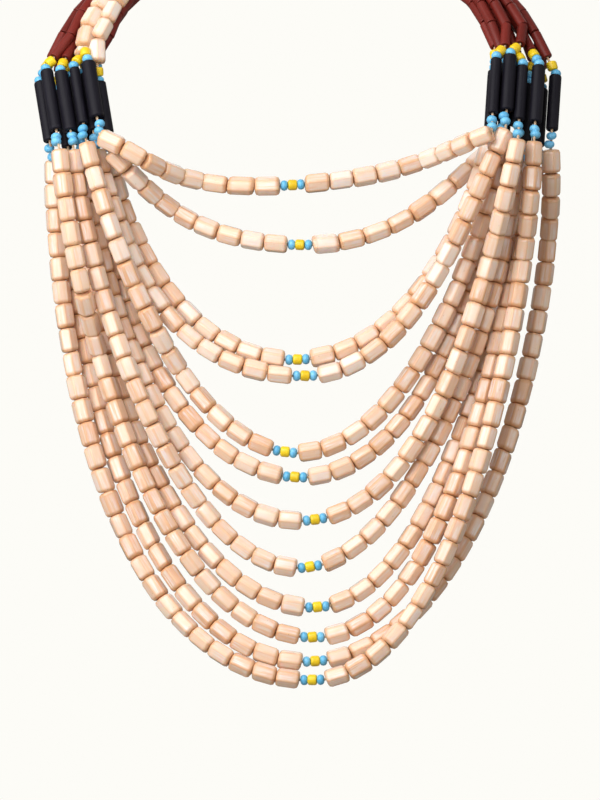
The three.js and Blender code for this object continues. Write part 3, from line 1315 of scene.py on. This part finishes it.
@dataclass
class NeckBundle:
    """The twelve thin strings of a side, from the tubes' upper ends to the clasp."""

    side: Side
    masters: Masters
    finishes: Finishes
    peach: frozenset[int] = frozenset()  # the strings made of six-sided peach beads
    margin: float = 2.8 * MM
    inner: int = 3  # strings in the middle of the bundle
    inner_share: float = 0.42
    seed_gap: float = 0.2 * MM
    seed_lean: float = 0.15
    bead_gap: float = 0.3 * MM  # at least, between two beads' places
    bead_play: float = 0.25 * MM  # of a bead in its own place
    bead_lean: float = 0.02
    first_gap: Pair = (0.3, 2.0)  # millimetres from the seeds to the first bead
    width: Pair = (0.92, 1.0)
    rise: float = 1.2 * MM  # how far a string follows its tube before it bends away
    gather: int = 1  # the section from which the strings run as a bundle
    bundled: int = 3  # the section where they first run the bundle's own way
    pair_every: int = 3  # one string in so many has two blue seeds above its tube
    step: float = 1.0 * MM  # between the points of a route

    def build(self) -> None:
        """Builds the strings' beads, seeds and threads."""
        tubes = {number: TubePlace.of(self.side, number) for number in STRINGS}
        sections = self.sections(tubes)
        spots = self.spots(tubes, sections)
        chance = random.Random(self.side.value)
        red, peach, threads = Threaded(), Threaded(), Threads()
        seeds = {seed: Threaded() for seed in Seed}
        for number, tube in tubes.items():
            route = self.route(tube, sections, spots[number])
            blue = 1 if number % self.pair_every else 2
            start = self.add_seeds(seeds, route, blue, chance)
            if number in self.peach:
                joints = self.add_beads(peach, self.masters.holed, route, start, chance)
            else:
                joints = self.add_beads(red, self.masters.red_tube, route, start, chance)
            inside = tube.top - tube.axis * THREAD_INSIDE
            threads.add(np.vstack([inside, tube.top, joints]), chance.random())
        node = f"neck_bundle_{self.side.value}"
        dressing = [(red.piece(f"{node}_red_beads", self.finishes.neck), "neck_glass")]
        if self.peach:
            dressing.append((peach.piece(f"{node}_peach_beads", self.finishes.bead), "bead_glass"))
        dressing += seed_pieces(node, seeds, self.finishes)
        dressing.append((threads.piece(f"{node}_threads", self.finishes.thread), "thread"))
        hand_over(node, dressing)

    def sections(self, tubes: dict[int, TubePlace]) -> list[Section]:
        """Reads the bundle's cross-sections.

        Args:
            tubes: the tube of each string.

        Returns:
            The sections from the tubes to the clasp.
        """
        lowest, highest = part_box("clasp")
        clasp_end = np.array((lowest + highest) / 2)
        clasp_end[0] = (lowest if self.side is Side.LEFT else highest).x
        rings = rings_of(f"neck_bundle_{self.side.value}", clasp_end, BUNDLE_CORNERS)[::-1]
        centres = np.array([ring.centre for ring in rings])
        steps = np.gradient(centres, axis=0)
        steps[0] = tubes[1].axis
        return [Section.of(ring, unit(step), self.side) for ring, step in zip(rings, steps)]

    def route(
        self, tube: TubePlace, sections: Sequence[Section], spot: tuple[float, float]
    ) -> np.ndarray:
        """Finds a string's way to the clasp.

        Args:
            tube: its tube.
            sections: the bundle's cross-sections.
            spot: its own place in each of them.

        Returns:
            Points from the tube's upper end to the clasp.
        """
        bend = tube.top + tube.axis * self.rise
        stations = [
            section.at(*spot, self.margin)
            for section in sections[self.gather :]
            if (section.centre - bend) @ tube.axis > self.rise
        ]
        return smooth_route(np.array([tube.top, bend, *stations]), self.step)

    def spots(
        self, tubes: dict[int, TubePlace], sections: Sequence[Section]
    ) -> dict[int, tuple[float, float]]:
        """Gives each string a place in the bundle that follows its tube's in the cluster.

        Args:
            tubes: the tube of each string.
            sections: the bundle's cross-sections.

        Returns:
            Each string's place across a section and down it, from -1 to 1.
        """
        first, bundled = sections[0], sections[self.bundled]
        flat = {}
        for number, tube in tubes.items():
            away = tube.top - first.centre
            across, depth = away @ bundled.outwards, away @ bundled.down
            flat[number] = (across / first.half_wide, depth / first.half_thick)
        by_distance = sorted(flat, key=lambda number: math.hypot(*flat[number]))
        spots = {}
        groups = (by_distance[: self.inner], self.inner_share), (by_distance[self.inner :], 1.0)
        for numbers, share in groups:
            ordered = sorted(numbers, key=lambda number: math.atan2(*flat[number][::-1]))
            angles = [math.atan2(*flat[number][::-1]) for number in ordered]
            turn = 2 * math.pi / len(ordered)
            start = sum(angle - i * turn for i, angle in enumerate(angles)) / len(ordered)
            for i, number in enumerate(ordered):
                angle = start + i * turn
                spots[number] = (share * math.cos(angle), share * math.sin(angle))
        return spots

    def add_seeds(
        self, seeds: dict[Seed, Threaded], route: np.ndarray, blue: int, chance: random.Random
    ) -> float:
        """Threads seeds above a tube, the last one yellow.

        Args:
            seeds: what collects the seeds of each colour.
            route: the string's way from its tube's upper end.
            blue: how many blue seeds there are.
            chance: the bundle's own source of chance.

        Returns:
            How far along the route the last seed ends.
        """
        reach = self.seed_gap
        for kind in [Seed.BLUE] * blue + [Seed.YELLOW]:
            bead = self.masters.seeds[kind]
            start, middle, end = at_lengths(
                route, np.array([reach, reach + bead.length / 2, reach + bead.length])
            )
            axis = unit(unit(end - start) + scatter(chance, self.seed_lean))
            seeds[kind].add(bead, middle, axis, chance.random())
            reach += bead.length + self.seed_gap
        return reach

    def add_beads(
        self,
        beads: Threaded,
        bead: Master,
        route: np.ndarray,
        start: float,
        chance: random.Random,
    ) -> np.ndarray:
        """Threads beads along a route, from a length along it to its end.

        Args:
            beads: what collects them.
            bead: the bead to copy.
            route: the string's way from its tube's upper end.
            start: how far along it the seeds end.
            chance: the bundle's own source of chance.

        Returns:
            The points between which the beads lie.
        """
        start += chance.uniform(*self.first_gap) * MM
        length = lengths_along(route)[-1]
        count = round((length - start) / (bead.length + self.bead_gap))
        joints = at_lengths(route, np.linspace(start, length, count + 1))
        for before, after in zip(joints, joints[1:]):
            reach = float(np.linalg.norm(after - before)) - self.bead_play
            axis = unit(unit(after - before) + scatter(chance, self.bead_lean))
            size = (chance.uniform(*self.width),) * 2 + (reach / bead.length,)
            roll = chance.uniform(-math.pi, math.pi)
            beads.add(bead, (before + after) / 2, axis, chance.random(), roll, size)
        return joints


# ---- The clasp ----
@dataclass
class Clasp:
    """A plain brass barrel with a rim at each end."""

    finishes: Finishes
    sides: int = 48
    rim: float = 3.0 * MM
    waist: float = 0.8 * MM
    bevel: float = 0.5 * MM
    steps: int = 3  # faces across a bevel

    def build(self) -> None:
        """Builds the barrel where its solid lies."""
        lowest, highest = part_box("clasp")
        middle = (lowest + highest) / 2
        length = highest.x - lowest.x
        radius = middle.y
        bpy.ops.object.select_all(action="DESELECT")
        bpy.ops.mesh.primitive_cylinder_add(
            vertices=self.sides,
            radius=radius,
            depth=length,
            location=middle,
            rotation=(0, math.pi / 2, 0),
        )
        piece = bpy.context.object
        piece.name = piece.data.name = "clasp_barrel"
        with edit_mode():
            for end in (-1, 1):
                bpy.ops.mesh.select_all(action="SELECT")
                bpy.ops.mesh.bisect(
                    plane_co=middle + Vector((end * (length / 2 - self.rim), 0, 0)),
                    plane_no=(1, 0, 0),
                )
            choose("FACE", lambda face: abs(face.calc_center_median().z) < length / 4)
            bpy.ops.mesh.extrude_region_shrink_fatten(
                TRANSFORM_OT_shrink_fatten={"value": self.waist}
            )
            choose("EDGE", lambda edge: self.is_rim(edge, radius))
            bpy.ops.mesh.bevel(offset=self.bevel, segments=self.steps, affect="EDGES")
        bpy.ops.object.transform_apply(location=True, rotation=True, scale=True)
        piece.data.materials.append(self.finishes.clasp)
        smooth(piece)
        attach(piece, BODY)
        hand_over("clasp", [(piece, "clasp_brass")])
        log.info("%s: %d faces", piece.name, len(piece.data.polygons))

    @staticmethod
    def is_rim(edge: bmesh.types.BMEdge, radius: float) -> bool:
        """Sorts the barrel's edges.

        Args:
            edge: one of them.
            radius: the barrel's radius at its rims.

        Returns:
            Whether it runs round the barrel at its full width.
        """
        first, second = (vertex.co for vertex in edge.verts)
        level = abs(first.z - second.z) < CLOSE
        return level and math.hypot(first.x, first.y) > radius - CLOSE


# ---- The studio ----
@dataclass(frozen=True)
class Softbox:
    """A square soft light."""

    name: str
    place: Triple
    size: float
    power: float

    def build(self, target: Vector) -> None:
        """Makes the light.

        Args:
            target: the point that it faces.
        """
        data = bpy.data.lights.new(self.name, "AREA")
        data.size = self.size
        data.energy = self.power
        light = bpy.data.objects.new(self.name, data)
        bpy.context.scene.collection.objects.link(light)
        light.location = self.place
        light.rotation_euler = (target - light.location).to_track_quat("-Z", "Y").to_euler()


@dataclass(frozen=True)
class Studio:
    """A pale floor, soft light and the camera that looks at the front."""

    backdrop: Colour = (0.982, 0.973, 0.930, 1.0)
    floor: Colour = (0.36, 0.35, 0.33, 1.0)
    ambient: float = 0.37
    floor_drop: float = 0.25
    floor_size: float = 12.0
    lens: float = 1000.0
    sight: float = 50.0  # how far the camera sees
    view_height: float = 0.320
    view_middle: float = -0.196
    strings_depth: float = -0.112
    lights: tuple[Softbox, ...] = (
        Softbox("key", (-0.46, -0.69, 0.24), 1.1, 13.8),
        Softbox("fill", (1.2, -1.2, 0.4), 1.4, 6.0),
        Softbox("back", (0.2, 1.4, 0.8), 1.2, 4.0),
    )

    def build(self, lowest: float) -> None:
        """Builds the studio.

        Args:
            lowest: the height of the lowest bead.
        """
        self.add_world()
        self.add_floor(lowest - self.floor_drop)
        target = Vector((0, self.strings_depth, self.view_middle))
        for light in self.lights:
            light.build(target)
        self.add_camera(target)

    def shown(self, nodes: Nodes, lit: Value) -> Value:
        """Shows the camera the backdrop's colour.

        Args:
            nodes: the floor's node tree.
            lit: the shader that the light meets.

        Returns:
            The shader for both.
        """
        seen = nodes.add("ShaderNodeLightPath", {}, {}, "Is Camera Ray")
        flat = nodes.add("ShaderNodeEmission", {}, {"Color": self.backdrop})
        return nodes.add("ShaderNodeMixShader", {}, {0: seen, 1: lit, 2: flat})

    def add_world(self) -> None:
        """Even light from all round."""
        world = bpy.data.worlds.new("studio")
        bpy.context.scene.world = world
        world.use_nodes = True
        nodes = Nodes(world.node_tree)
        seen = nodes.add("ShaderNodeLightPath", {}, {}, "Is Camera Ray")
        strength = seen * (1.0 - self.ambient) + self.ambient
        sockets = {"Color": self.backdrop, "Strength": strength}
        nodes.surface("ShaderNodeOutputWorld", nodes.add("ShaderNodeBackground", {}, sockets))

    def add_floor(self, height: float) -> None:
        """Lays a wide pale floor.

        Args:
            height: its height.
        """
        bpy.ops.object.select_all(action="DESELECT")
        bpy.ops.mesh.primitive_plane_add(size=self.floor_size, location=(0, 0, height))
        floor = bpy.context.object
        floor.name = "floor"
        material = bpy.data.materials.new("pale_floor")
        material.use_nodes = True
        nodes = Nodes(material.node_tree)
        matt = nodes.add("ShaderNodeBsdfDiffuse", {}, {"Color": self.floor})
        nodes.surface("ShaderNodeOutputMaterial", self.shown(nodes, matt))
        floor.data.materials.append(material)
        floor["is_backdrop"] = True

    def add_camera(self, target: Vector) -> None:
        """Sets a long lens straight in front, so that the strings hardly shrink with depth.

        Args:
            target: the point at the middle of the view.
        """
        data = bpy.data.cameras.new("camera")
        data.lens = self.lens
        data.clip_end = self.sight
        distance = self.view_height / data.sensor_width * self.lens
        camera = bpy.data.objects.new("camera", data)
        bpy.context.scene.collection.objects.link(camera)
        camera.location = target - Vector((0, distance, 0))
        camera.rotation_euler = (math.pi / 2, 0, 0)
        bpy.context.scene.camera = camera


def main() -> None:
    """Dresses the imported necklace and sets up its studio."""
    logging.basicConfig(level=logging.INFO, format="%(name)s: %(message)s")
    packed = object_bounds()
    bpy.context.scene.view_settings.view_transform = "Standard"
    masters = Masters()
    finishes = Finishes()
    for number in STRINGS:
        HangingString(number, masters, finishes).build()
    for side in Side:
        Cluster(side, masters, finishes).build()
    NeckBundle(Side.LEFT, masters, finishes, peach=PEACH_STRINGS).build()
    NeckBundle(Side.RIGHT, masters, finishes).build()
    Clasp(finishes).build()
    Studio().build(packed[0].z)


if __name__ == "__main__":
    main()
